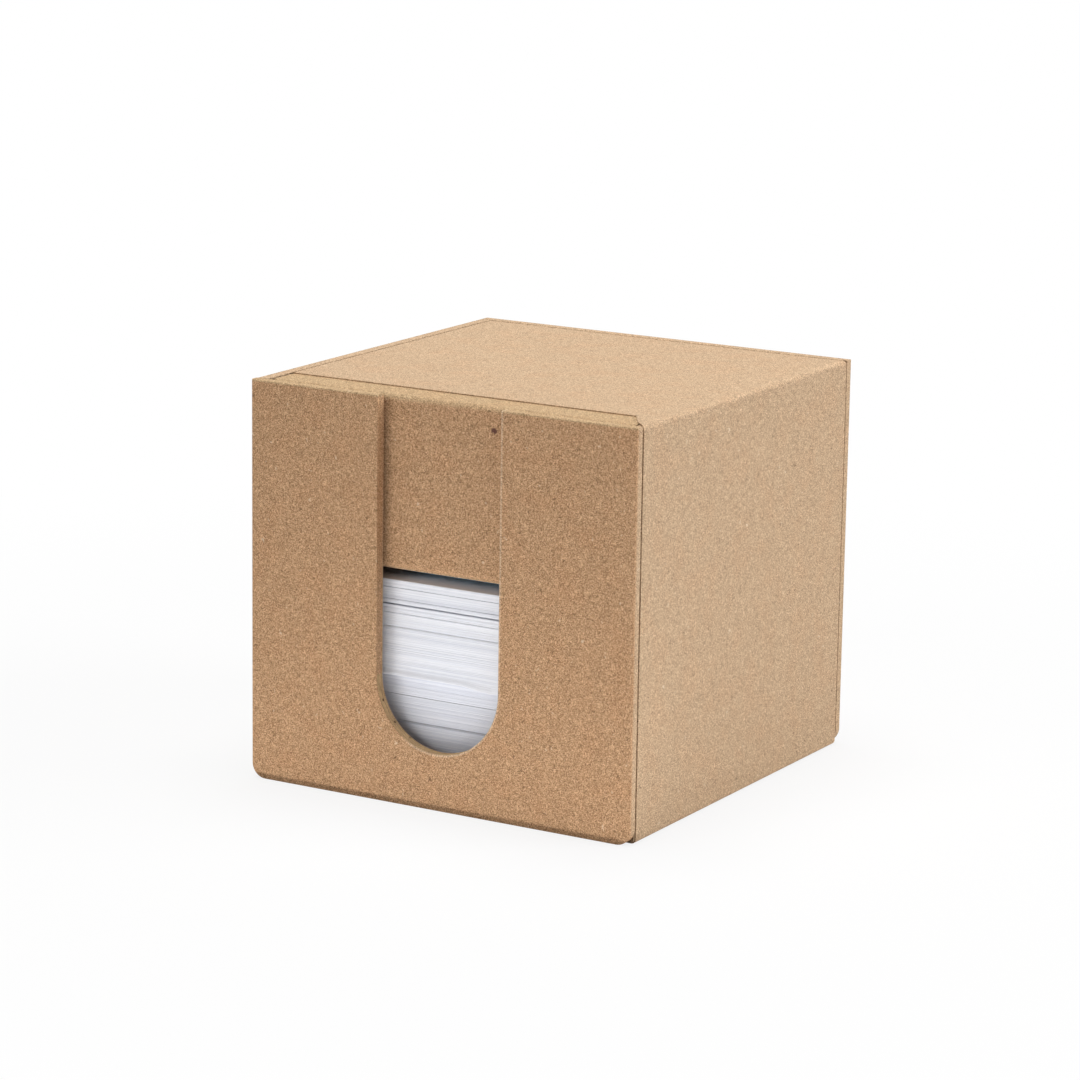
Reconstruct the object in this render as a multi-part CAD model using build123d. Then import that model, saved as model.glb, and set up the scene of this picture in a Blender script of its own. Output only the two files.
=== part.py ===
from build123d import *
import os

# Memo cube holder: a kraft-covered board box for loose notes. Its lid is a pen box that
# hangs in the top of the cube by a paper fold and swings over to stand beside it.
# Millimetres, +Z up, front towards -Y, origin under the middle of the closed cube.

# Outside of the closed cube
outer_width = 85.8
outer_depth = 87.6
outer_height = 80.0

# Board and paper
board = 1.7
paper = 0.25
seam = 0.25  # bare line left between two paper edges
wrap_seam = 0.3  # groove between the front wall's wrapped edge and the main sheet
fold_radius = 1.0  # outside of the main sheet where it turns round the cube
plate_corner = 3.0  # lower corners of the front and back walls
edge_radius = 0.1  # on the board under a wrapped edge
turn_in = 16.5  # how far the outer paper comes down inside the rim
rim_drop = 0.1  # left and back walls' rims, below the closed lid's top

# Finger cut in the front wall
cut_radius = 13.75
cut_bottom = 11.25  # lowest point of the cut above the floor

# Pen box, in its closed place
pen_depth = 34.4  # top of the lid to the face with the flags
pen_front_gap = 0.9  # to the front wall
pen_back_gap = 0.2  # to the back wall
pen_end_gap = 0.15  # to the left wall
mouth_gap = 0.3  # mouth to the right wall
end_setback = 15.2  # how far the slanted end is cut back at the flag face
lid_fold_radius = 0.35  # outside of the main sheet where it turns down the slanted end
pen_front_ease = 1.35  # outside of the front side's paper where it turns on to the lid
pen_back_ease = 0.45  # and of the back side's paper
flap = 12.0  # side paper turned over on to the lid, end and flag face
face_inset = 1.2  # edge of the flag face's sheet, in from its sides
stand_gap = 0.3  # between the open pen box and the right wall, and under it

# Main sheet on the lid, and its free part over the fold
sheet_front_inset = 7.4  # its edges, in from the pen box's sides
sheet_back_inset = 1.2
hinge_reach = 3.0  # free paper on each side of the cube's top right edge
corner_cut = 6.2  # where the front corner's cut starts, in from the right side
cut_spread = 5.1  # how much wider the sheet has become where the free part starts

# Flag card under the pen box
card = 0.4
card_radius = 3.0
card_from_mouth = 5.8
card_side_margin = 2.7
flag_length = 45.0
flag_width = 12.0
flag_height = 1.0
flag_margin = 3.0  # card left clear round the row of flags
flag_names = ["blue", "green", "yellow", "pink", "peach"]

# Stack of notes
note_side_gap = 0.7
note_front_gap = 1.8
note_back_gap = 0.4
note_setback = 1.0  # lower notes stand this far behind the upper ones
note_head_gap = 0.8  # under the flags
note_splits = [0.0, 0.32, 0.545, 0.77, 0.885, 1.0]  # where the stack shows a break
lower_notes = 2  # how many of the blocks are set back

# Places that follow from the sizes above
left = -outer_width / 2
right = outer_width / 2
front = -outer_depth / 2
back = outer_depth / 2
top = outer_height
wall = board + 2 * paper
rim = top - rim_drop  # top of the left and back walls
plate_back = front + wall - paper  # back of the front wall's board
plate_front = back - wall + paper
room_left = left + wall
room_right = right - wall
room_front = front + wall
room_back = back - wall
sheet_y = (room_front + wrap_seam, room_back)  # main sheet round the cube
fold_start = top - hinge_reach
fold_x = right - hinge_reach
cut_centre = cut_bottom + cut_radius
turn_end = rim - turn_in

pen_left = room_left + pen_end_gap
pen_right = room_right - mouth_gap
pen_front = room_front + pen_front_gap
pen_back = room_back - pen_back_gap
pen_bottom = top - pen_depth
lid_y = (pen_front + sheet_front_inset, pen_back - sheet_back_inset)  # main sheet on the lid

# The fold's line: both the open pen box's side and its foot clear by the same gap
hinge_x = (right + top + pen_left) / 2
hinge_z = (right + top + 2 * stand_gap - pen_left) / 2

# For picking edges
near = 0.01  # two places closer than this are the same
upright = 0.99  # a direction steeper than this is upright


def block(x, y, z):
    """A box between pairs of low and high places."""
    centre = ((x[0] + x[1]) / 2, (y[0] + y[1]) / 2, (z[0] + z[1]) / 2)
    return Pos(*centre) * Box(x[1] - x[0], y[1] - y[0], z[1] - z[0])


def slab(points, y, radius=0):
    """An outline in X and Z, with its corner radii, carried from front to back."""
    line = FilletPolyline([(x, y[0], z) for x, z in points], radius=radius, close=True)
    return extrude(make_face(line), amount=y[1] - y[0], dir=(0, 1, 0))


def upright_slab(points, z):
    """A plan outline carried upwards."""
    line = Polyline([(x, y, z[0]) for x, y in points], close=True)
    return extrude(make_face(line), amount=z[1] - z[0], dir=(0, 0, 1))


def merged(shape):
    """The same solid as one plain shape."""
    solids = shape.solids()
    return solids[0] if len(solids) == 1 else Compound(solids)


def save(shape, node):
    export_step(merged(shape), f"parts/{node}.step")


def tube(inset, y):
    """The cube's wrapped section: three folds and one open edge at the top left."""
    points = [
        (left + inset, inset),
        (right - inset, inset),
        (right - inset, top - inset),
        (left + inset, top - inset),
    ]
    soft = fold_radius - inset
    return slab(points, y, [soft, soft, soft, 0])


def plate(inset, y, high):
    """An end wall up to this height, with its edges eased where the paper turns."""
    level = high - inset
    points = [
        (left + inset, inset),
        (right - inset, inset),
        (right - inset, level),
        (left + inset, level),
    ]
    soft = plate_corner - inset
    body = slab(points, y, [soft, soft, 0, 0])
    at_top = [edge for edge in body.edges() if abs(edge.center().Z - level) < near]
    rims = [edge for edge in at_top if edge.length > board * 2]
    outside = y[0] if y[0] < 0 else y[1]
    sides = [
        edge
        for edge in body.edges()
        if abs(edge.center().Y - outside) < near
        and abs(abs(edge.center().X) - (right - inset)) < near
    ]
    return fillet(rims + sides, edge_radius + paper - inset)


def finger_cut(side, y):
    """The cut's room: a half circle with straight sides up to the rim and past it."""
    z = (cut_centre, top + wall)
    straight = block((-cut_radius - side, cut_radius + side), y, z)
    depth = y[1] - y[0]
    middle = (0, (y[0] + y[1]) / 2, cut_centre)
    return straight + Pos(*middle) * Rot(90, 0, 0) * Cylinder(cut_radius, depth)


def base_boards():
    inside = (plate_back, plate_front)
    floor = block((left, right), inside, (paper, paper + board))
    left_wall = block(
        (left + paper, left + paper + board), inside, (paper + board, rim - paper)
    )
    right_wall = block(
        (right - paper - board, right - paper), inside, (paper + board, rim - 2 * paper)
    )
    core = tube(paper, inside)
    return {
        "bottom_board": floor & core,
        "left_board": left_wall & core,
        "right_board": right_wall & core,
        "back_board": plate(paper, (plate_front, back - paper), rim),
        "front_board": plate(paper, (front + paper, plate_back), top)
        - finger_cut(paper, (front, room_front)),
    }


def base_sheets(boards):
    skin = tube(0, sheet_y) - tube(paper, sheet_y)
    left_fold = (left, left + fold_radius)
    right_fold = (right - fold_radius, right)
    flat = (left + fold_radius, right - fold_radius)

    over_left = block((left, room_left), sheet_y, (rim - paper, rim))
    down_left = block((room_left - paper, room_left), sheet_y, (turn_end, rim))
    left_sheet = (skin & block(left_fold, sheet_y, (0, rim))) + over_left + down_left
    right_sheet = skin & block(right_fold, sheet_y, (0, fold_start))
    bottom_sheet = skin & block(flat, sheet_y, (0, fold_start))

    rim_paper = block((room_right, room_right + paper), sheet_y, (turn_end, rim - paper))
    rim_paper += block((room_right, right), sheet_y, (rim - 2 * paper, rim - paper))
    rim_paper &= tube(paper, sheet_y)

    # The free part narrows from the right wall to the lid, most at the front's cut corner
    fold = skin & block((fold_x, right), sheet_y, (fold_start, top))
    at_lid = (lid_y[0] - cut_spread, lid_y[1])
    for at_wall, at_fold, end in zip(sheet_y, at_lid, (front, back)):
        waste = [(right, at_wall), (fold_x, at_fold), (fold_x, end), (right + wall, end)]
        fold -= upright_slab(waste, (fold_start, top + paper))

    front_cover = plate(0, (front, room_front), top) - finger_cut(0, (front - wall, room_back))
    back_cover = plate(0, (room_back, back), rim)
    return {
        "left_sheet": left_sheet,
        "right_sheet": right_sheet,
        "bottom_sheet": bottom_sheet,
        "right_rim_sheet": rim_paper,
        "hinge_fold": fold,
        "front_sheet": front_cover - boards["front_board"] - lining_side(room_front, -1),
        "back_sheet": back_cover - boards["back_board"] - lining_side(room_back, 1),
    }


def lining_side(face, way):
    """Room inside an end wall that its own paper leaves to the walls and the lining."""
    y = sorted((face, face + way * paper))
    ends = block((left, room_left - paper), y, (0, top))
    ends += block((room_right + paper, right), y, (0, top))
    return ends + block((left, right), y, (0, turn_end))


def base_lining():
    """Kraft lining of the note room, up to the turned-in rims."""
    y = (plate_back, plate_front)
    x = (room_left - paper, room_right + paper)
    shell = block(x, y, (paper + board, turn_end - seam))
    shell -= block((room_left, room_right), (room_front, room_back), (wall, top))
    return shell - finger_cut(0, (front, room_front + paper))


def pen_outline(lid, end, face, mouth):
    """The pen box's long section, each side moved in by its own amount."""
    run = end_setback
    drop = pen_depth
    length = (run**2 + drop**2) ** 0.5
    lean = run / drop

    def end_x(z):
        return pen_left + (top - z) * lean + end * length / drop

    high = top - lid
    low = pen_bottom + face
    return [
        (end_x(high), high),
        (pen_right - mouth, high),
        (pen_right - mouth, low),
        (end_x(low), low),
    ]


def eased(shape, place, radius):
    """Ease one side's long edges, where its paper turns on to the lid, end and flag face."""
    rims = []
    for edge in shape.edges():
        flat = abs(edge.position_at(0).Y - edge.position_at(1).Y) < near
        at_side = abs(edge.center().Y - place) < near
        at_mouth = edge.geom_type == GeomType.LINE and abs((edge % 0.5).Z) > upright
        if flat and at_side and not at_mouth:
            rims.append(edge)
    return fillet(rims, radius)


def pen_body(depth):
    """The pen box as one solid, this far down from the outside of its side papers."""
    inset = depth + paper
    y = (pen_front + depth, pen_back - depth)
    body = slab(pen_outline(inset, inset, inset, depth), y)
    body = eased(body, y[0], pen_front_ease - depth)
    return eased(body, y[1], pen_back_ease - depth)


def pen_box():
    two = 2 * paper
    deep = two + board
    inner = (pen_front + paper + board, pen_back - paper - board)
    room = (pen_front + wall, pen_back - wall)

    core = pen_body(paper)
    hollow = slab(pen_outline(deep, deep, deep, 0), inner)
    lined = slab(pen_outline(deep + paper, deep + paper, deep + paper, -wall), room)

    across = core & block((left, right), inner, (0, top))
    frame = across - hollow
    high = block((left, right), inner, (top - deep, top))
    low = block((left, right), inner, (0, pen_bottom + deep))
    boards = {
        "lid_board": frame & high,
        "flag_face_board": frame & low,
        "slanted_end_board": frame - high - low,
        "pen_front_board": core & block((left, right), (pen_front, inner[0]), (0, top)),
        "pen_back_board": core & block((left, right), (inner[1], pen_back), (0, top)),
    }

    shell = pen_body(0) - core - hollow
    front_cap = shell & block((left, right), (pen_front, pen_front + flap), (0, top))
    back_cap = shell & block((left, right), (pen_back - flap, pen_back), (0, top))

    under = core + front_cap + back_cap  # what the main sheet is laid over
    lid = slab(main_outline(), lid_y, [lid_fold_radius, 0, 0, 0]) - under
    corner = [(right - corner_cut, lid_y[0]), (fold_x, lid_y[0]), (fold_x, lid_y[0] - cut_spread)]
    lid += upright_slab(corner, (top - two, top)) - under

    # Between the flaps, the mouth's long rims are covered from the face and from inside
    rim_x = (pen_right - paper, pen_right)
    between = (pen_front + flap, pen_back - flap)
    face_y = (pen_front + face_inset, pen_back - face_inset)
    face = slab(pen_outline(two, two, 0, 0), face_y)
    face = (face & block((left, right), face_y, (0, pen_bottom + two))) - under
    face += block(rim_x, between, (pen_bottom, pen_bottom + deep))
    lining = hollow - lined
    lining += block(rim_x, between, (top - deep, top - two))

    sheets = {
        "pen_front_sheet": front_cap,
        "pen_back_sheet": back_cap,
        "lid_sheet": lid,
        "flag_face_sheet": face,
        "pen_lining": lining,
    }
    return boards | sheets


def main_outline():
    """The main sheet's reach: over the lid to the fold, and down the slanted end."""
    start, _, _, foot = pen_outline(0, 0, 2 * paper, 0)
    return [start, (fold_x, top), (fold_x, foot[1]), foot]


def flags():
    card_right = pen_right - card_from_mouth
    card_left = card_right - flag_length - 2 * flag_margin
    card_y = (pen_front + card_side_margin, pen_back - card_side_margin)
    low = pen_bottom - card
    sheet = block((card_left, card_right), card_y, (low, pen_bottom))
    sheet = fillet(sheet.edges().filter_by(Axis.Z), card_radius)
    nodes = {"flag_card": sheet}
    first = card_y[0] + flag_margin
    pitch = (card_y[1] - flag_margin - flag_width - first) / (len(flag_names) - 1)
    x = (card_left + flag_margin, card_right - flag_margin)
    for index, name in enumerate(flag_names):
        start = first + index * pitch
        nodes[f"flag_pad_{name}"] = block(x, (start, start + flag_width), (low - flag_height, low))
    return nodes


def notes():
    head = pen_bottom - card - flag_height - note_head_gap
    x = (room_left + note_side_gap, room_right - note_side_gap)
    y = (room_front + note_front_gap, room_back - note_back_gap - note_setback)
    nodes = {}
    for index in range(len(note_splits) - 1):
        step = note_setback if index < lower_notes else 0
        z = [wall + share * (head - wall) for share in note_splits[index : index + 2]]
        nodes[f"note_block_{index + 1}"] = block(x, (y[0] + step, y[1] + step), z)
    return nodes


os.makedirs("parts", exist_ok=True)
boards = base_boards()
nodes = boards | base_sheets(boards) | {"base_lining": base_lining()} | pen_box() | flags() | notes()
for node, shape in nodes.items():
    save(shape, node)
print(f"fold line at x {hinge_x:.3f}, z {hinge_z:.3f}")
print(f"{len(nodes)} nodes")
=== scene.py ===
import math

import bmesh
import bpy
import mathutils
from mathutils import Matrix, Vector


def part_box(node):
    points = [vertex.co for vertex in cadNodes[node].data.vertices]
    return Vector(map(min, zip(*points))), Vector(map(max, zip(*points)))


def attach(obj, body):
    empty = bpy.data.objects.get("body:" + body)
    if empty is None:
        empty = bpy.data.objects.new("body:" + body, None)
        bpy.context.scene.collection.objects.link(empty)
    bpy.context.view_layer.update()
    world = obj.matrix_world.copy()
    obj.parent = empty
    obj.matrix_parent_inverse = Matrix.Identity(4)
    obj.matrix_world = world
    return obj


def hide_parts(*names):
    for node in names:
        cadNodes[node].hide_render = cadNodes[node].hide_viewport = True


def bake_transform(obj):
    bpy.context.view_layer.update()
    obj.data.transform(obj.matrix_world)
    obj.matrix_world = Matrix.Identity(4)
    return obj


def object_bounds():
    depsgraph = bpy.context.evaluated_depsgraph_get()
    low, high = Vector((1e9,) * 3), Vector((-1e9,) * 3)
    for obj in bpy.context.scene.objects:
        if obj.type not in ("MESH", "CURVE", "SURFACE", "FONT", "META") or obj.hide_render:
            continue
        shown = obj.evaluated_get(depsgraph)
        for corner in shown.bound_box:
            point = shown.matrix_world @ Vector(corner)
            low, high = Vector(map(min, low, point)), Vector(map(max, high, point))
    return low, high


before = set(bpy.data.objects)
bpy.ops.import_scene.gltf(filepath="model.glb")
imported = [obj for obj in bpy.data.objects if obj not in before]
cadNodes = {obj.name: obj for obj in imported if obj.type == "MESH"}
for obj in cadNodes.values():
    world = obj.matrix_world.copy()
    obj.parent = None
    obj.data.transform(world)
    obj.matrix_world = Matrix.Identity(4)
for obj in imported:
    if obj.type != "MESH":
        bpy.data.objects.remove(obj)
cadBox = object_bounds()
mm = 0.001
print("frame loaded:", len(cadNodes), "nodes")


# Small helpers for building node trees

def put(tree, kind, inputs=None, **settings):
    # adds a node; an input given as a socket is linked, anything else is set
    made = tree.nodes.new(kind)
    for name, value in settings.items():
        setattr(made, name, value)
    for name, value in (inputs or {}).items():
        if isinstance(value, bpy.types.NodeSocket):
            tree.links.new(value, made.inputs[name])
        else:
            made.inputs[name].default_value = value
    return made


def calc(tree, operation, *values):
    return put(tree, "ShaderNodeMath", dict(enumerate(values)), operation=operation).outputs[0]


def vectorCalc(tree, operation, *values):
    made = put(tree, "ShaderNodeVectorMath", dict(enumerate(values)), operation=operation)
    return made.outputs["Value" if operation in ("LENGTH", "DISTANCE") else "Vector"]


def scaled(tree, vector, factor):
    return put(tree, "ShaderNodeVectorMath", {0: vector, "Scale": factor}, operation="SCALE").outputs[0]


def partsOf(tree, vector):
    return put(tree, "ShaderNodeSeparateXYZ", {"Vector": vector}).outputs


def joined(tree, x=0.0, y=0.0, z=0.0):
    return put(tree, "ShaderNodeCombineXYZ", {0: x, 1: y, 2: z}).outputs[0]


def blendColour(tree, share, first, second, how="MIX"):
    # inputs 6 and 7 and output 2 are the mix node's colour sockets
    made = put(tree, "ShaderNodeMix", {0: share, 6: first, 7: second}, data_type="RGBA", blend_type=how)
    return made.outputs[2]


def ramp(tree, value, low, high, start=0.0, end=1.0):
    # goes softly from start to end while the value goes from low to high
    made = put(tree, "ShaderNodeMapRange", {0: value, 1: low, 2: high, 3: start, 4: end},
               interpolation_type="SMOOTHSTEP")
    return made.outputs[0]


def noise(tree, place, scale, detail=2.0, roughness=0.5, distortion=0.0):
    made = put(tree, "ShaderNodeTexNoise", {"Vector": place, "Scale": scale, "Detail": detail,
                                            "Roughness": roughness, "Distortion": distortion})
    return made.outputs["Fac"]


def opaque(colour):
    return (*colour, 1.0)


def newMaterial(name):
    material = bpy.data.materials.new(name)
    material.use_nodes = True
    material.node_tree.nodes.clear()
    return material, material.node_tree


def closeMaterial(tree, shader):
    put(tree, "ShaderNodeOutputMaterial", {"Surface": shader})


def closeSurface(tree, colour, relief, roughness, specular):
    shader = put(tree, "ShaderNodeBsdfPrincipled", {"Base Color": colour, "Roughness": roughness,
                                                    "Normal": relief, "Specular IOR Level": specular})
    closeMaterial(tree, shader.outputs[0])


def bumps(tree, height, strength, depth):
    made = put(tree, "ShaderNodeBump", {"Height": height, "Strength": strength, "Distance": depth})
    return made.outputs[0]


def millimetres(tree, stretch=(1, 1, 1)):
    # the piece's own place in the frame, counted in millimetres
    place = put(tree, "ShaderNodeTexCoord").outputs["Object"]
    return put(tree, "ShaderNodeMapping", {"Vector": place, "Scale": [s / mm for s in stretch]}).outputs[0]


def spot(tree, place, middle, radius, core):
    # a dab that is full up to the core's share of its radius
    away = vectorCalc(tree, "DISTANCE", place, middle)
    return ramp(tree, away, radius, radius * core, 0.0, 0.9)


# Kraft paper; its scales count per millimetre

kraft = {
    "fibreScale": 3.0,
    "fineScale": 4.8,
    "threadScale": 0.95,
    "mottleScale": 0.16,
    "curlScale": 0.8,
    "curlReach": 2.4,  # millimetres that the curls bend the fibres by
    "swing": 1.20,  # from the darkest to the lightest fibre
    "grainSpan": (0.30, 0.70),  # part of the grain that the swing runs over
    "threadWidth": 0.035,
    "threadDepth": 0.14,
    "redTint": (1.03, 0.96, 0.92),
    "redSpan": (0.42, 0.68),  # part of the mottle where the paper turns redder
    "redShare": 0.5,
    "brightSpan": (0.48, 0.66),
    "brightShare": 0.22,
    "speckColour": (0.100, 0.048, 0.026),
    "speckCell": 0.75,  # one cell may hold one speck
    "speckShare": 0.17,
    "speckDepth": 0.55,
    "paleColour": (0.83, 0.70, 0.52),
    "paleCell": 0.95,
    "paleShare": 0.20,
    "paleDepth": 0.40,
    "paleTurn": (0.5, 0.4, 0.0),  # the pale flecks are drawn out and lean
    "paleStretch": (1.0, 1.0, 0.45),
    "speckSize": 0.17,
    "bumpHeight": 0.07 * mm,
    "bumpStrength": 0.55,
    "roughness": (0.94, 0.80),
    "specular": 0.28,
}


def specks(tree, place, cell, share):
    # dots in some of the cells of a Voronoi pattern
    size = kraft["speckSize"]
    cells = put(tree, "ShaderNodeTexVoronoi", {"Vector": place, "Scale": cell, "Randomness": 1.0})
    pick = put(tree, "ShaderNodeSeparateColor", {"Color": cells.outputs["Color"]})
    chosen = calc(tree, "LESS_THAN", pick.outputs[0], share)
    reach = calc(tree, "MULTIPLY", pick.outputs[1], size)
    reach = calc(tree, "ADD", reach, size * 0.45)
    near = calc(tree, "SUBTRACT", reach, cells.outputs["Distance"])
    return calc(tree, "MULTIPLY", ramp(tree, near, 0.0, size * 0.5), chosen)


def curled(tree, place):
    curl = put(tree, "ShaderNodeTexNoise", {"Vector": place, "Scale": kraft["curlScale"], "Detail": 1.0})
    bend = vectorCalc(tree, "SUBTRACT", curl.outputs["Color"], (0.5, 0.5, 0.5))
    return vectorCalc(tree, "MULTIPLY_ADD", bend, (kraft["curlReach"],) * 3, place)


def palerRims(tree, sides, ground, rims):
    # a rim has its own tone where the piece lies far enough out along each axis named
    for limits, tone in rims:
        reach = 1.0
        for side, (start, end) in limits.items():
            out = calc(tree, "ABSOLUTE", sides[side])
            reach = calc(tree, "MULTIPLY", reach, ramp(tree, out, start, end))
        ground = blendColour(tree, reach, ground, opaque(tone))
    return ground


def paintedCutHighlight(tree, sides, ground, cut):
    # painted highlight: a pale line round the foot of the finger cut and up its right edge, where the rounded
    # paper edge catches light
    below = calc(tree, "MINIMUM", calc(tree, "SUBTRACT", sides["Z"], cut["centre"]), 0.0)
    away = vectorCalc(tree, "LENGTH", joined(tree, sides["X"], below))
    line = ramp(tree, away, cut["radius"] + cut["line"] / 2, cut["radius"] + cut["line"], 1.0, 0.0)
    shown = ramp(tree, sides["X"], *cut["fadesIn"], 0.0, cut["strength"])
    return blendColour(tree, calc(tree, "MULTIPLY", line, shown), ground, opaque(kraft["paleColour"]))


def fibreLight(tree, bent, grain, contrast):
    # the fibres' light and dark, with fine darker threads between them
    swing = kraft["swing"] * contrast
    light = ramp(tree, grain, *kraft["grainSpan"], 1.0 - swing / 2, 1.0 + swing / 2.6)
    thread = calc(tree, "SUBTRACT", noise(tree, bent, kraft["threadScale"], detail=1.0), 0.5)
    thread = calc(tree, "ABSOLUTE", thread)
    dark = 1.0 - kraft["threadDepth"] * contrast
    return calc(tree, "MULTIPLY", light, ramp(tree, thread, 0.0, kraft["threadWidth"], dark, 1.0))


def kraftMaterial(name, tone, contrast=1.0, rims=(), cut=None, fleck=None):
    material, tree = newMaterial(name)
    place = millimetres(tree)
    bent = curled(tree, place)
    fibre = noise(tree, bent, kraft["fibreScale"], detail=2.0, roughness=0.6, distortion=0.8)
    fine = noise(tree, place, kraft["fineScale"], detail=1.0, roughness=0.6, distortion=0.5)
    mottle = noise(tree, place, kraft["mottleScale"], detail=3.0, roughness=0.55)
    grain = calc(tree, "MULTIPLY_ADD", fine, 0.5, calc(tree, "MULTIPLY", fibre, 0.5))

    sides = partsOf(tree, place)
    ground = palerRims(tree, sides, opaque(tone), rims)
    # painted highlight round the finger cut's rim
    if cut:
        ground = paintedCutHighlight(tree, sides, ground, cut)
    redder = blendColour(tree, 1.0, ground, opaque(kraft["redTint"]), "MULTIPLY")
    ground = blendColour(tree, ramp(tree, mottle, *kraft["redSpan"], 0.0, kraft["redShare"]), ground, redder)
    colour = scaled(tree, ground, fibreLight(tree, bent, grain, contrast))
    bright = ramp(tree, grain, *kraft["brightSpan"], 0.0, kraft["brightShare"] * contrast)
    colour = blendColour(tree, bright, colour, opaque(kraft["paleColour"]))

    dark = specks(tree, bent, kraft["speckCell"], kraft["speckShare"])
    dark = calc(tree, "MULTIPLY", dark, kraft["speckDepth"] * contrast)
    colour = blendColour(tree, dark, colour, opaque(kraft["speckColour"]))
    drawn = put(tree, "ShaderNodeMapping", {"Vector": bent, "Scale": kraft["paleStretch"],
                                            "Rotation": kraft["paleTurn"]})
    pale = specks(tree, drawn.outputs[0], kraft["paleCell"], kraft["paleShare"])
    pale = calc(tree, "MULTIPLY", pale, kraft["paleDepth"])
    colour = blendColour(tree, pale, colour, opaque(kraft["paleColour"]))
    if fleck:
        dab = spot(tree, bent, fleck["place"], fleck["radius"], fleck["core"])
        colour = blendColour(tree, dab, colour, opaque(fleck["colour"]))

    height = calc(tree, "MULTIPLY_ADD", fine, 0.35, calc(tree, "MULTIPLY", fibre, 0.65))
    relief = bumps(tree, height, kraft["bumpStrength"] * contrast, kraft["bumpHeight"])
    roughness = ramp(tree, fibre, 0.3, 0.7, *kraft["roughness"])
    closeSurface(tree, colour, relief, roughness, kraft["specular"])
    return material


cubeTop = cadBox[1].z / mm
cubeSide = cadBox[1].x / mm
cubeFront = -cadBox[0].y / mm

mainTone = (0.500, 0.344, 0.212)
liningTone = (0.470, 0.310, 0.180)
wallTone = (0.473, 0.275, 0.142)
rimTone = (0.463, 0.310, 0.166)

wallRims = [
    ({"Z": (cubeTop - 0.5, cubeTop - 0.2)}, rimTone),
    ({"X": (cubeSide - 0.35, cubeSide - 0.1), "Y": (cubeFront - 0.1, cubeFront - 1.1)}, mainTone),
]
penRims = [({"Z": (cubeTop - 1.6, cubeTop - 0.5)}, rimTone)]

# pale line round the finger cut's rim: a painted highlight on its rounded paper edge
fingerCutHighlight = {
    "radius": 13.75,  # millimetres, as in the front board
    "centre": 25.0,
    "line": 0.45,
    "fadesIn": (-9.0, -5.0),
    "strength": 0.30,
}
penFleck = {"place": (10.4, -40.7, 75.6), "radius": 1.05, "core": 0.55, "colour": (0.09, 0.032, 0.028)}

mainPaper = kraftMaterial("kraftMain", mainTone, contrast=0.95)
liningPaper = kraftMaterial("kraftLining", liningTone, contrast=0.8)
wallPaper = kraftMaterial("kraftWalls", wallTone, rims=wallRims, cut=fingerCutHighlight)
penPaper = kraftMaterial("kraftPenBox", wallTone, rims=penRims, fleck=penFleck)
print("kraft papers made")


# Board, seen raw at the finger cut, and dark in the seams with glue and painted shade

board = {
    "rawTone": (0.45, 0.30, 0.155),
    # the covered boards are dark where they show in the seams: partly glue, partly painted shade
    "glueAndShadeTone": (0.26, 0.18, 0.11),
    "layers": (0.35, 3.2, 0.35),  # the front board's layers lie one behind the other
    "fibreScale": 3.0,
    "light": (0.70, 1.35),
    "bumpHeight": 0.12 * mm,
    "crumbColour": (0.09, 0.05, 0.03),  # crumbs of paper that hang on the rim of the finger cut
    "crumbCore": 0.5,
    "crumbs": [(-12.8, -42.7, 20.0, 0.40), (-10.3, -42.4, 15.9, 0.38), (-7.05, -41.9, 13.2, 0.36)],
}


def boardMaterial(name, tone, crumbs=()):
    material, tree = newMaterial(name)
    place = millimetres(tree)
    layers = noise(tree, millimetres(tree, board["layers"]), 1.0, detail=3.0, roughness=0.6)
    fibres = noise(tree, place, board["fibreScale"], detail=3.0, roughness=0.7)
    mixed = calc(tree, "MULTIPLY_ADD", layers, 0.6, calc(tree, "MULTIPLY", fibres, 0.4))
    colour = scaled(tree, tone, ramp(tree, mixed, 0.35, 0.65, *board["light"]))
    for *middle, radius in crumbs:
        dab = spot(tree, place, middle, radius, board["crumbCore"])
        colour = blendColour(tree, dab, colour, opaque(board["crumbColour"]))
    relief = bumps(tree, mixed, strength=0.8, depth=board["bumpHeight"])
    closeSurface(tree, colour, relief, roughness=0.93, specular=0.2)
    return material


rawBoard = boardMaterial("boardCut", board["rawTone"], board["crumbs"])
glueAndShadeBoard = boardMaterial("boardGlueAndPaintedShade", board["glueAndShadeTone"])


# Note paper, film flags and their card

noteLook = {
    # brightest sheet tone, which the lip's painted highlight also takes
    "brightToneAndLipHighlight": (0.950, 0.960, 1.000),
    "shade": (0.80, 0.82, 0.880),
    "upperTint": (1.0, 1.0, 1.0),
    # the lower bundles are tinted darker: painted shade under the overhanging lip
    "lowerShadeTint": (0.94, 0.945, 0.965),
    "streaks": (0.05, 0.05, 3.0),  # long ones, a few to a millimetre of the stack
    "toothScale": 6.0,
    "toothHeight": 0.02 * mm,
}


def noteMaterial(name, tint):
    material, tree = newMaterial(name)
    tone = put(tree, "ShaderNodeAttribute", attribute_name="sheetTone").outputs["Fac"]
    streak = noise(tree, millimetres(tree, noteLook["streaks"]), 1.0, detail=3.0, roughness=0.6)
    mixed = calc(tree, "MULTIPLY_ADD", tone, 0.5, calc(tree, "MULTIPLY", streak, 0.5))
    share = ramp(tree, mixed, 0.25, 0.75)
    colour = blendColour(tree, share, opaque(noteLook["shade"]), opaque(noteLook["brightToneAndLipHighlight"]))
    colour = blendColour(tree, 1.0, colour, opaque(tint), "MULTIPLY")
    tooth = noise(tree, millimetres(tree), noteLook["toothScale"], detail=2.0)
    relief = bumps(tree, tooth, strength=0.25, depth=noteLook["toothHeight"])
    closeSurface(tree, colour, relief, roughness=0.82, specular=0.3)
    return material


notePaper = noteMaterial("notePaper", noteLook["upperTint"])
# a darker copy of the note paper for the lower bundles, painted shade under the lip
shadedNotePaper = noteMaterial("notePaperPaintedShade", noteLook["lowerShadeTint"])

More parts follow.
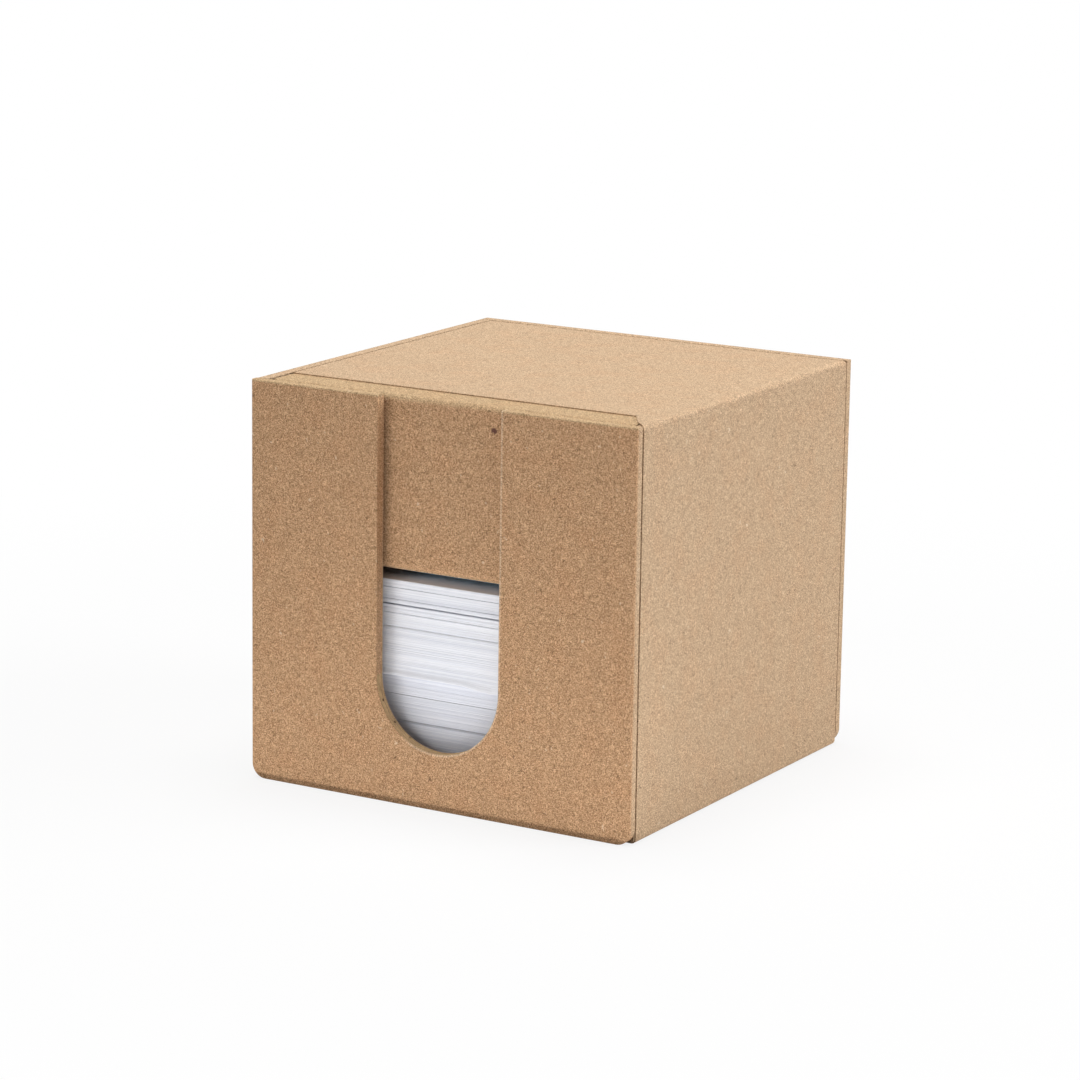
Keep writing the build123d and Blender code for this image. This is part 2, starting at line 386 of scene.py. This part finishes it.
flagTones = {  # printed end, clear end, edge of the pad
    "blue": ((0.27, 0.49, 0.62), (0.40, 0.63, 0.76), (0.06, 0.26, 0.42)),
    "green": ((0.49, 0.73, 0.41), (0.64, 0.83, 0.54), (0.18, 0.46, 0.18)),
    "yellow": ((0.79, 0.79, 0.43), (0.84, 0.83, 0.53), (0.60, 0.60, 0.14)),
    "pink": ((0.86, 0.46, 0.59), (0.88, 0.52, 0.66), (0.66, 0.12, 0.28)),
    "peach": ((0.80, 0.61, 0.37), (0.82, 0.65, 0.42), (0.80, 0.30, 0.16)),
}
film = {
    "printBlur": 0.06,  # millimetres to each side of the print's end
    "hazeScale": 0.35,
    "waveHeight": 0.08 * mm,
    "roughness": (0.30, 0.42),
}
card = {
    "tones": ((0.72, 0.62, 0.58), (0.80, 0.72, 0.68)),
    "hazeScale": 0.5,
    "waveHeight": 0.1 * mm,
    "roughness": 0.22,
    "alpha": 0.72,
}


def flagMaterial(name, printed, clear, edge, printEnd):
    material, tree = newMaterial("film_" + name)
    place = millimetres(tree)
    along = partsOf(tree, place)["X"]
    end = ramp(tree, along, printEnd - film["printBlur"], printEnd + film["printBlur"])
    colour = blendColour(tree, end, opaque(clear), opaque(printed))
    normal = put(tree, "ShaderNodeTexCoord").outputs["Normal"]
    flat = calc(tree, "ABSOLUTE", partsOf(tree, normal)["Z"])
    colour = blendColour(tree, ramp(tree, flat, 0.3, 0.7), opaque(edge), colour)
    haze = noise(tree, place, film["hazeScale"], detail=2.0)
    roughness = ramp(tree, haze, 0.3, 0.7, *film["roughness"])
    wave = bumps(tree, haze, strength=0.2, depth=film["waveHeight"])
    closeSurface(tree, colour, wave, roughness, specular=0.45)
    return material


def cardMaterial():
    material, tree = newMaterial("filmCard")
    haze = noise(tree, millimetres(tree), card["hazeScale"], detail=2.0)
    dull, bright = card["tones"]
    colour = blendColour(tree, ramp(tree, haze, 0.3, 0.7), opaque(dull), opaque(bright))
    wave = bumps(tree, haze, strength=0.2, depth=card["waveHeight"])
    body = put(tree, "ShaderNodeBsdfPrincipled", {"Base Color": colour, "Roughness": card["roughness"],
                                                  "IOR": 1.5, "Normal": wave, "Alpha": card["alpha"]})
    closeMaterial(tree, body.outputs[0])
    return material


filmCard = cardMaterial()
print("board, note paper and film made")


# Every node of the frame gets its finish

finishes = {
    mainPaper: ["left_sheet", "bottom_sheet", "right_sheet", "hinge_fold", "lid_sheet", "flag_face_sheet",
                "back_sheet", "pen_back_sheet"],
    liningPaper: ["right_rim_sheet", "base_lining", "pen_lining"],
    wallPaper: ["front_sheet"],
    penPaper: ["pen_front_sheet"],
    rawBoard: ["front_board"],
    glueAndShadeBoard: ["bottom_board", "back_board", "left_board", "right_board", "lid_board",
                   "flag_face_board", "slanted_end_board", "pen_front_board", "pen_back_board"],
    filmCard: ["flag_card"],
}


def dress(piece, material):
    piece.data.materials.clear()
    piece.data.materials.append(material)


for material, names in finishes.items():
    for name in names:
        dress(cadNodes[name], material)
print("frame nodes dressed")


# Stacks of thin sheets, for the notes and for the pads of flags

stack = {
    "sockets": {
        "Float": ["Length", "Width", "Thickness", "Pitch", "Drift", "Slip", "Turn", "Missing", "Wave", "Lip",
                  "Sag", "Sag Place"],
        "Int": ["Sheets", "Seed"],
        "Vector": ["Start"],
        "Material": ["Material"],
    },
    "columns": 25,  # vertices along a sheet, for its waves
    "bendRow": 0.93,  # where its inner rows lie, as a share of half its width
    "driftStep": 0.23,  # how fast the pile wanders from sheet to sheet
    "lipSheets": 9.0,
    "lipHighlight": 4.0 / mm,  # painted highlight: the lip's sheets are painted brighter
    "ripples": (42.0, 30.0, 60.0),  # per metre
    "sagHeight": 1.6 * mm,
    "sagDepth": (0.5 * mm, 3.2 * mm),
    "sagWidth": 5.5 * mm,
}


def randomly(tree, given, low, high, seedStep):
    seed = calc(tree, "ADD", given["Seed"], seedStep)
    return put(tree, "FunctionNodeRandomValue", {2: low, 3: high, "Seed": seed}).outputs[1]


def oneSheet(tree, given, place):
    # a flat block whose inner rows are drawn out to the front and back edges, where it can bend
    size = joined(tree, given["Length"], given["Width"], given["Thickness"])
    block = put(tree, "GeometryNodeMeshCube", {"Size": size, "Vertices X": stack["columns"],
                                               "Vertices Y": 4, "Vertices Z": 2})
    y = partsOf(tree, place)["Y"]
    halfWidth = calc(tree, "MULTIPLY", given["Width"], 0.5)
    share = calc(tree, "DIVIDE", y, halfWidth)
    inner = calc(tree, "LESS_THAN", calc(tree, "ABSOLUTE", share), 0.9)
    bendRow = calc(tree, "MULTIPLY", halfWidth, stack["bendRow"])
    row = calc(tree, "MULTIPLY", calc(tree, "SIGN", share), bendRow)
    moved = joined(tree, y=calc(tree, "SUBTRACT", row, y))
    sheet = put(tree, "GeometryNodeSetPosition", {"Geometry": block.outputs[0], "Selection": inner,
                                                  "Offset": moved})
    return sheet.outputs[0]


def looseSheets(tree, given, sheet):
    # some sheets are left out, which leaves the thin dark lines between bundles
    line = put(tree, "GeometryNodeMeshLine", {"Count": given["Sheets"], "Start Location": given["Start"],
                                              "Offset": joined(tree, z=given["Pitch"])}).outputs[0]
    gone = calc(tree, "LESS_THAN", randomly(tree, given, 0.0, 1.0, 11), given["Missing"])
    line = put(tree, "GeometryNodeDeleteGeometry", {"Geometry": line, "Selection": gone}, domain="POINT")
    pile = put(tree, "GeometryNodeInstanceOnPoints", {"Points": line.outputs[0], "Instance": sheet})
    return pile.outputs[0]


def untidied(tree, given, pile):
    # every sheet slips a little, the pile drifts, and its lowest sheets may stand out as a lip, which gets a
    # painted highlight
    index = put(tree, "GeometryNodeInputIndex").outputs[0]
    lip = calc(tree, "MULTIPLY", ramp(tree, index, 0.0, stack["lipSheets"], 1.0, 0.0), given["Lip"])
    # painted highlight: the lip's sheets have their tone lifted to the brightest note colour
    brightToneAndLipHighlight = calc(tree, "MULTIPLY_ADD", lip, stack["lipHighlight"], randomly(tree, given, 0.0, 1.0, 5))
    pile = put(tree, "GeometryNodeStoreNamedAttribute",
               {"Geometry": pile, "Name": "sheetTone", "Value": brightToneAndLipHighlight}, data_type="FLOAT", domain="INSTANCE")
    along = joined(tree, calc(tree, "MULTIPLY", index, stack["driftStep"]),
                   calc(tree, "MULTIPLY", given["Seed"], 7.3))
    drift = calc(tree, "SUBTRACT", noise(tree, along, 1.0, detail=3.0, roughness=0.65), 0.5)
    slip = calc(tree, "MULTIPLY", randomly(tree, given, -1.0, 1.0, 2), given["Slip"])
    forward = calc(tree, "SUBTRACT", calc(tree, "MULTIPLY_ADD", drift, given["Drift"], slip), lip)
    sideways = calc(tree, "MULTIPLY", randomly(tree, given, -1.0, 1.0, 3), given["Slip"])
    pile = put(tree, "GeometryNodeTranslateInstances", {"Instances": pile.outputs[0], "Local Space": False,
                                                        "Translation": joined(tree, sideways, forward)})
    turn = calc(tree, "MULTIPLY", randomly(tree, given, -1.0, 1.0, 4), given["Turn"])
    pile = put(tree, "GeometryNodeRotateInstances", {"Instances": pile.outputs[0],
                                                     "Rotation": joined(tree, z=turn)})
    return put(tree, "GeometryNodeRealizeInstances", {"Geometry": pile.outputs[0]}).outputs[0]


def waves(tree, given, parts):
    # gentle ones that the whole pile shares
    at = [calc(tree, "MULTIPLY", parts[side], count) for side, count in zip("XYZ", stack["ripples"])]
    ripple = calc(tree, "SUBTRACT", noise(tree, joined(tree, *at), 1.0, detail=1.0), 0.5)
    return calc(tree, "MULTIPLY", ripple, given["Wave"])


def droop(tree, given, parts):
    # the lowest sheets sag at one place of the front edge, where they overhang
    start = partsOf(tree, given["Start"])
    above = calc(tree, "SUBTRACT", parts["Z"], start["Z"])
    low = ramp(tree, above, 0.0, stack["sagHeight"], 1.0, 0.0)
    frontEdge = calc(tree, "SUBTRACT", start["Y"], calc(tree, "MULTIPLY", given["Width"], 0.5))
    behind = calc(tree, "SUBTRACT", parts["Y"], frontEdge)
    inFront = ramp(tree, behind, *stack["sagDepth"], 1.0, 0.0)
    beside = calc(tree, "ABSOLUTE", calc(tree, "SUBTRACT", parts["X"], given["Sag Place"]))
    dip = ramp(tree, beside, 0.0, stack["sagWidth"], 1.0, 0.0)
    deepest = calc(tree, "MULTIPLY", dip, given["Sag"])
    return calc(tree, "MULTIPLY", calc(tree, "MULTIPLY", low, inFront), deepest)


def sheetStackTree():
    tree = bpy.data.node_groups.new("sheetStack", "GeometryNodeTree")
    for kind, names in stack["sockets"].items():
        for name in names:
            tree.interface.new_socket(name, in_out="INPUT", socket_type="NodeSocket" + kind)
    tree.interface.new_socket("Geometry", in_out="OUTPUT", socket_type="NodeSocketGeometry")
    given = put(tree, "NodeGroupInput").outputs
    place = put(tree, "GeometryNodeInputPosition").outputs[0]
    pile = untidied(tree, given, looseSheets(tree, given, oneSheet(tree, given, place)))
    parts = partsOf(tree, place)
    lift = calc(tree, "SUBTRACT", waves(tree, given, parts), droop(tree, given, parts))
    pile = put(tree, "GeometryNodeSetPosition", {"Geometry": pile, "Offset": joined(tree, z=lift)}).outputs[0]
    pile = put(tree, "GeometryNodeSetMaterial", {"Geometry": pile, "Material": given["Material"]}).outputs[0]
    put(tree, "NodeGroupOutput", {"Geometry": pile})
    return tree


def grow(name, tree, values):
    # runs a node tree once and keeps its result as a plain mesh
    holder = bpy.data.objects.new(name + "Holder", bpy.data.meshes.new(name + "Holder"))
    bpy.context.scene.collection.objects.link(holder)
    modifier = holder.modifiers.new("grow", "NODES")
    modifier.node_group = tree
    for item in tree.interface.items_tree:
        if item.in_out == "INPUT" and item.name in values:
            modifier[item.identifier] = values[item.name]
    seen = holder.evaluated_get(bpy.context.evaluated_depsgraph_get())
    mesh = bpy.data.meshes.new_from_object(seen)
    mesh.name = name
    bpy.data.objects.remove(holder)
    made = bpy.data.objects.new(name, mesh)
    bpy.context.scene.collection.objects.link(made)
    return made


stackTree = sheetStackTree()

notes = {
    "pitch": 0.1 * mm,
    "thickness": 0.094 * mm,
    "trim": 0.35 * mm,  # how much smaller a sheet is than its block, for the untidy edges
    "turn": math.radians(0.03),
    "blocks": {  # drift, slip, share left out, gap above the bundle, lip, sag
        "note_block_1": (0.25, 0.05, 0.015, 0.12, 0.0, 0.0),
        "note_block_2": (0.30, 0.05, 0.010, 0.00, 0.0, 0.0),
        "note_block_3": (0.16, 0.05, 0.010, 0.06, 0.80, 0.75),
        "note_block_4": (0.20, 0.05, 0.080, 0.28, 0.0, 0.0),
        "note_block_5": (0.16, 0.05, 0.012, 0.00, 0.0, 0.0),
    },
    "lowerBlocks": 2,
    "sagPlace": 9.2 * mm,
    "wave": 0.16 * mm,
    "firstSeed": 20,
}

for index, (node, (drift, slip, missing, gap, lip, sag)) in enumerate(notes["blocks"].items()):
    low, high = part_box(node)
    middle = (low + high) / 2
    pile = grow(node + "_sheets", stackTree, {
        "Length": high.x - low.x - notes["trim"],
        "Width": high.y - low.y - notes["trim"],
        "Thickness": notes["thickness"],
        "Pitch": notes["pitch"],
        "Sheets": int((high.z - low.z - gap * mm) / notes["pitch"]),
        "Start": (middle.x, middle.y, low.z + notes["pitch"] / 2),
        "Drift": drift * mm,
        "Slip": slip * mm,
        "Turn": notes["turn"],
        "Missing": missing,
        "Wave": notes["wave"],
        "Lip": lip * mm,
        "Sag": sag * mm,
        "Sag Place": notes["sagPlace"],
        "Seed": notes["firstSeed"] + index,
        "Material": shadedNotePaper if index < notes["lowerBlocks"] else notePaper,
    })
    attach(pile, "base")
    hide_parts(node)
print("note sheets stacked")

flags = {
    "films": 20,
    "filmThickness": 0.042 * mm,
    "clearShare": 0.48,  # how much of a film is its clear, paler end
    "drift": 0.08 * mm,
    "slip": 0.05 * mm,
    "turn": math.radians(0.1),
    "firstSeed": 60,
}

for index, (name, (printed, clear, edge)) in enumerate(flagTones.items()):
    node = "flag_pad_" + name
    low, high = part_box(node)
    middle = (low + high) / 2
    pitch = (high.z - low.z) / flags["films"]
    printEnd = (low.x + (high.x - low.x) * flags["clearShare"]) / mm
    pad = grow("flags_" + name, stackTree, {
        "Length": high.x - low.x - flags["slip"] * 2,
        "Width": high.y - low.y - flags["slip"] * 2,
        "Thickness": flags["filmThickness"],
        "Pitch": pitch,
        "Sheets": flags["films"],
        "Start": (middle.x, middle.y, low.z + pitch / 2),
        "Drift": flags["drift"],
        "Slip": flags["slip"],
        "Turn": flags["turn"],
        "Seed": flags["firstSeed"] + index,
        "Material": flagMaterial(name, printed, clear, edge, printEnd),
    })
    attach(pad, "pen_box")
    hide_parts(node)
print("flags stacked")


# The paper fold that hinges the lid

fold = {
    "radius": 1.0 * mm,  # outside of the paper in the bend
    "paper": 0.25 * mm,
    "upright": 4,  # steps up the wall, round the bend and over to the lid
    "bend": 8,
    "level": 8,
    "rows": 120,
    "wander": 0.16 * mm,  # how far the free paper strays from flat
    "creaseLength": 3.5 * mm,
    "creaseStep": 0.22,
    "letsGo": 78.4 * mm,  # height where the fold would part from the wall; it goes into foldStart, which nothing here uses
    "sharpFrom": math.radians(40),
}


def foldProfile(low, high):
    # the fold's section from the wall to the lid: places with the way that faces out
    radius = fold["radius"]
    line = []
    for step in range(fold["upright"]):
        line.append((high.x, low.z + (high.z - radius - low.z) * step / fold["upright"], 1.0, 0.0))
    for step in range(fold["bend"] + 1):
        angle = math.pi / 2 * step / fold["bend"]
        out = (math.cos(angle), math.sin(angle))
        line.append((high.x - radius + radius * out[0], high.z - radius + radius * out[1], *out))
    for step in range(1, fold["level"] + 1):
        line.append((high.x - radius + (low.x - high.x + radius) * step / fold["level"], high.z, 0.0, 1.0))
    return line


def foldEnds(low, high):
    # its front and back ends at the lid and at the wall; the cut corner lies between
    points = [vertex.co for vertex in cadNodes["hinge_fold"].data.vertices]
    onLid = [point.y for point in points if point.x < low.x + 0.02 * mm]
    return (min(onLid), max(onLid)), (low.y, high.y)


def foldLayers(low, high):
    # the outer and the inner face of the paper, as rows of places
    onLid, onWall = foldEnds(low, high)
    line = foldProfile(low, high)
    layers = []
    for depth in (0.0, fold["paper"]):
        grid = []
        for step, (x, z, outX, outZ) in enumerate(line):
            share = (high.x - x) / (high.x - low.x)
            first, last = [wall + (lid - wall) * share for lid, wall in zip(onLid, onWall)]
            free = math.sin(math.pi * step / (len(line) - 1))
            row = []
            for place in range(fold["rows"] + 1):
                y = first + (last - first) * place / fold["rows"]
                along = Vector((y / fold["creaseLength"], step * fold["creaseStep"], 4.0))
                crease = max(mathutils.noise.noise(along), 0.0)
                out = -fold["wander"] * free * crease - depth
                row.append((x + out * outX, y, z + out * outZ))
            grid.append(row)
        layers.append(grid)
    return layers


def foldMesh():
    low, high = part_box("hinge_fold")
    mesh = bmesh.new()
    layers = [[[mesh.verts.new(place) for place in row] for row in grid] for grid in foldLayers(low, high)]
    outer, inner = layers
    steps, end = len(outer) - 1, fold["rows"]
    for step in range(steps):
        for place in range(end):
            for grid in layers:
                mesh.faces.new((grid[step][place], grid[step + 1][place],
                                grid[step + 1][place + 1], grid[step][place + 1]))
        for side in (0, end):
            mesh.faces.new((outer[step][side], outer[step + 1][side],
                            inner[step + 1][side], inner[step][side]))
    for place in range(end):
        for step in (0, steps):
            mesh.faces.new((outer[step][place], outer[step][place + 1],
                            inner[step][place + 1], inner[step][place]))
    bmesh.ops.recalc_face_normals(mesh, faces=mesh.faces)
    data = bpy.data.meshes.new("paper_fold")
    mesh.to_mesh(data)
    mesh.free()
    data.polygons.foreach_set("use_smooth", [True] * len(data.polygons))
    data.set_sharp_from_angle(angle=fold["sharpFrom"])
    piece = bpy.data.objects.new("paper_fold", data)
    bpy.context.scene.collection.objects.link(piece)
    return piece, Vector((high.x, 0, fold["letsGo"])), Vector((low.x, 0, high.z))


paperFold, foldStart, foldEnd = foldMesh()
dress(paperFold, mainPaper)
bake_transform(paperFold)
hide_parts("hinge_fold")
print("paper fold bent")


# Camera, as the cube was seen

cameraView = {
    "azimuth": 30.60, "elevation": 12.83, "roll": 0.847,  # degrees
    "aim": (-3.1 * mm, -0.5 * mm, 45.0 * mm),
    "distance": 799.8 * mm,
    "lens": 133.62,
    "sensor": 36.0,
    "clip": (0.05, 20.0),
}


def placeCamera():
    az, el, roll = [math.radians(cameraView[name]) for name in ("azimuth", "elevation", "roll")]
    back = Vector((math.sin(az) * math.cos(el), -math.cos(az) * math.cos(el), math.sin(el)))
    right = Vector((math.cos(az), math.sin(az), 0))
    up = back.cross(right)
    right, up = right * math.cos(roll) + up * math.sin(roll), up * math.cos(roll) - right * math.sin(roll)
    data = bpy.data.cameras.new("camera")
    data.lens = cameraView["lens"]
    data.sensor_width = cameraView["sensor"]
    data.clip_start, data.clip_end = cameraView["clip"]
    camera = bpy.data.objects.new("camera", data)
    turned = Matrix((right, up, back)).transposed().to_4x4()
    place = Vector(cameraView["aim"]) + back * cameraView["distance"]
    camera.matrix_world = Matrix.Translation(place) @ turned
    bpy.context.scene.collection.objects.link(camera)
    bpy.context.scene.camera = camera


placeCamera()
print("camera placed")


# Soft studio light on a pale floor

studio = {
    "world": 0.09,
    "lamps": {  # place, what it faces, size, power
        "top": ((-0.05, 0.05, 1.20), (0, 0, 0.04), 0.7, 15.2),
        "right": ((1.10, 0.40, 0.45), (0, 0, 0.04), 0.7, 11.0),
        "left": ((-0.46, -1.20, 0.45), (0, 0, 0.04), 0.5, 3.5),
        "low": ((0.02, -0.139, 0.001), (0.02, -0.139, 1.0), 0.19, 0.104),
    },
    "floorTone": (0.70, 0.70, 0.70),
    "floorReach": 4.0,
    "floorLevel": -0.02 * mm,
    "floorGlow": (0.84, 1.0),  # how much of the floor is plain white to the camera, near the cube and far
    "glowReach": (0.09, 0.28),
}
plainWhite = (1.0, 1.0, 1.0, 1.0)


def softbox(name, place, faced, size, power):
    data = bpy.data.lights.new(name, "AREA")
    data.size = size
    data.energy = power
    lamp = bpy.data.objects.new(name, data)
    lamp.location = place
    lamp.rotation_euler = (Vector(faced) - Vector(place)).to_track_quat("-Z", "Y").to_euler()
    lamp.visible_camera = False
    bpy.context.scene.collection.objects.link(lamp)


def seenDirectly(tree):
    # camera, glossy and transmission rays see the white background
    path = put(tree, "ShaderNodeLightPath").outputs
    seen = calc(tree, "MAXIMUM", path["Is Camera Ray"], path["Is Glossy Ray"])
    return calc(tree, "MAXIMUM", seen, path["Is Transmission Ray"])


def mixShader(tree, share, first, second):
    return put(tree, "ShaderNodeMixShader", {0: share, 1: first.outputs[0], 2: second.outputs[0]})


def whiteWorld():
    world = bpy.data.worlds.new("studio")
    bpy.context.scene.world = world
    world.use_nodes = True
    tree = world.node_tree
    tree.nodes.clear()
    soft = put(tree, "ShaderNodeBackground", {"Color": plainWhite, "Strength": studio["world"]})
    white = put(tree, "ShaderNodeBackground", {"Color": plainWhite, "Strength": 1.0})
    both = mixShader(tree, seenDirectly(tree), soft, white)
    put(tree, "ShaderNodeOutputWorld", {"Surface": both.outputs[0]})


def floorMaterial():
    material, tree = newMaterial("floorWhite")
    matt = put(tree, "ShaderNodeBsdfDiffuse", {"Color": opaque(studio["floorTone"])})
    glow = put(tree, "ShaderNodeEmission", {"Color": plainWhite, "Strength": 1.0})
    away = vectorCalc(tree, "LENGTH", put(tree, "ShaderNodeTexCoord").outputs["Object"])
    far = ramp(tree, away, *studio["glowReach"], *studio["floorGlow"])
    lit = mixShader(tree, calc(tree, "MULTIPLY", seenDirectly(tree), far), matt, glow)
    below = put(tree, "ShaderNodeNewGeometry").outputs["Backfacing"]
    both = mixShader(tree, below, lit, put(tree, "ShaderNodeBsdfTransparent"))  # clear from below
    closeMaterial(tree, both.outputs[0])
    return material


def paleFloor():
    half, level = studio["floorReach"], studio["floorLevel"]
    corners = [(-half, -half, level), (half, -half, level), (half, half, level), (-half, half, level)]
    data = bpy.data.meshes.new("floor")
    data.from_pydata(corners, [], [(0, 1, 2, 3)])
    data.materials.append(floorMaterial())
    floor = bpy.data.objects.new("floor", data)
    bpy.context.scene.collection.objects.link(floor)


for name, (place, faced, size, power) in studio["lamps"].items():
    softbox(name, place, faced, size, power)
whiteWorld()
paleFloor()
bpy.context.scene.view_settings.view_transform = "Standard"
print("studio lit")

print("cad box", [[round(v / mm, 2) for v in corner] for corner in cadBox])
